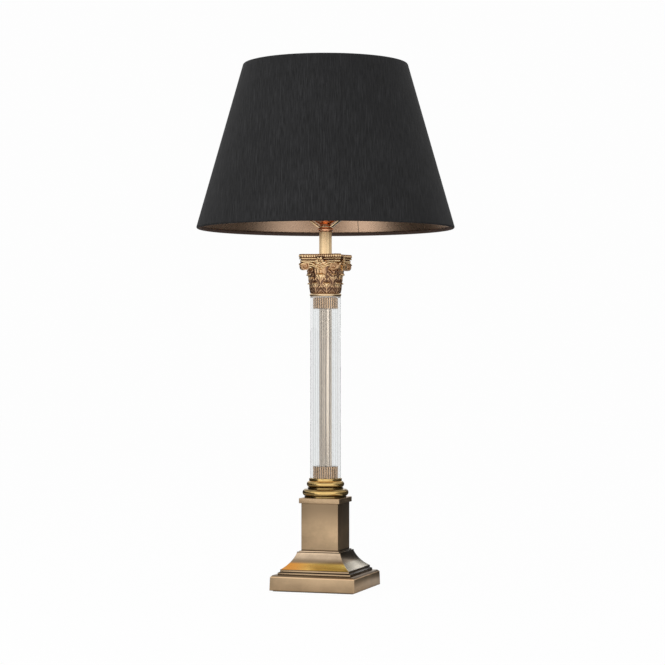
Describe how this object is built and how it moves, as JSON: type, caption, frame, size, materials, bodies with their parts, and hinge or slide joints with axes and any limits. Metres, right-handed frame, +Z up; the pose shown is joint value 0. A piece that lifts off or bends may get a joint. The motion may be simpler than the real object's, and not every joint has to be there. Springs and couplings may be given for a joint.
{
  "type": "column table lamp",
  "caption": "Column table lamp with a square stepped foot, a glass column round a brass tube, a Corinthian capital and a conical black shade on a harp.",
  "frame": {"origin": "on the table surface, under the lamp's upright axis", "axes": "+Z up along the column; the harp and its saddle lie along X; the flex inlet faces +Y, the back"},
  "size_m": [0.4059, 0.406, 0.8308],
  "materials": {
    "felt": "wool felt",
    "steel": "zinc plated",
    "iron": "as cast",
    "brass_satin": "brushed and lacquered",
    "brass_bright": "polished and lacquered",
    "brass_polished": "polished",
    "brass_cast": "cast, with dark patina in the hollows",
    "copper_brass": "copper toned, satin",
    "clear_glass": "clear, drawn tube",
    "gasket": "translucent",
    "fibre": "vulcanised fibre",
    "moulding": "moulded",
    "bulb_insulation": "fused",
    "bulb_glass": "clear",
    "black_silk": "slubbed silk on stiff backing",
    "bronze_lining": "metallic laminate",
    "ring_wire": "epoxy coated wire"
  },
  "bodies": {
    "lamp": {"base_felt": "felt", "base_plate": "steel", "plate_screws": "steel", "base_weight": "iron", "plinth_slab": "brass_satin", "flex_bush": "brass_satin", "plinth_cove": "brass_bright", "pedestal_die": "brass_satin", "pedestal_cap": "brass_satin", "lower_torus": "brass_bright", "upper_torus": "brass_bright", "glass_seat": "brass_bright", "lower_gasket": "gasket", "lower_collar": "brass_bright", "glass_tube": "clear_glass", "core_tube": "brass_polished", "upper_collar": "brass_bright", "upper_gasket": "gasket", "astragal_ring": "brass_bright", "capital": "brass_cast", "stem_tube": "brass_polished", "stem_collar": "copper_brass", "tie_rod": "steel", "tie_washer": "steel", "tie_nut": "steel", "harp_saddle": "brass_polished", "harp": "brass_polished", "holder_cap": "copper_brass", "holder_locknut": "steel", "holder_shell": "brass_polished", "holder_liner": "fibre", "holder_body": "moulding", "terminal_screws": "brass_polished", "screw_shell": "brass_polished", "centre_contact": "brass_polished"},
    "left_sleeve": {"harp_sleeve_left": "brass_polished"},
    "right_sleeve": {"harp_sleeve_right": "brass_polished"},
    "switch": {"switch_shaft": "steel", "switch_knob": "moulding"},
    "bulb": {"bulb_contact": "steel", "bulb_insulator": "bulb_insulation", "bulb_cap": "steel", "bulb_glass": "bulb_glass", "bulb_stem": "bulb_glass", "bulb_filament": "steel"},
    "finial": {"finial": "brass_polished"},
    "shade": {"shade_cover": "black_silk", "shade_lining": "bronze_lining", "shade_bottom_ring": "ring_wire", "shade_spider": "brass_polished"}
  },
  "joints": [
    {"name": "switch_turn", "type": "hinge", "parent": "lamp", "child": "switch", "pos_m": [0, -0.03, 0.5901], "axis": [0, -1, 0], "continuous": true},
    {"name": "bulb_out", "type": "slide", "parent": "lamp", "child": "bulb", "axis": [0, 0, 1], "range_m": [0, 0.04]},
    {"name": "left_sleeve_lift", "type": "slide", "parent": "lamp", "child": "left_sleeve", "axis": [0, 0, 1], "range_m": [0, 0.012]},
    {"name": "right_sleeve_lift", "type": "slide", "parent": "lamp", "child": "right_sleeve", "axis": [0, 0, 1], "range_m": [0, 0.012]},
    {"name": "finial_off", "type": "slide", "parent": "lamp", "child": "finial", "axis": [0, 0, 1], "range_m": [0, 0.27]},
    {"name": "shade_turn", "type": "hinge", "parent": "finial", "child": "shade", "pos_m": [0, 0, 0.81], "axis": [0, 0, 1], "continuous": true}
  ]
}
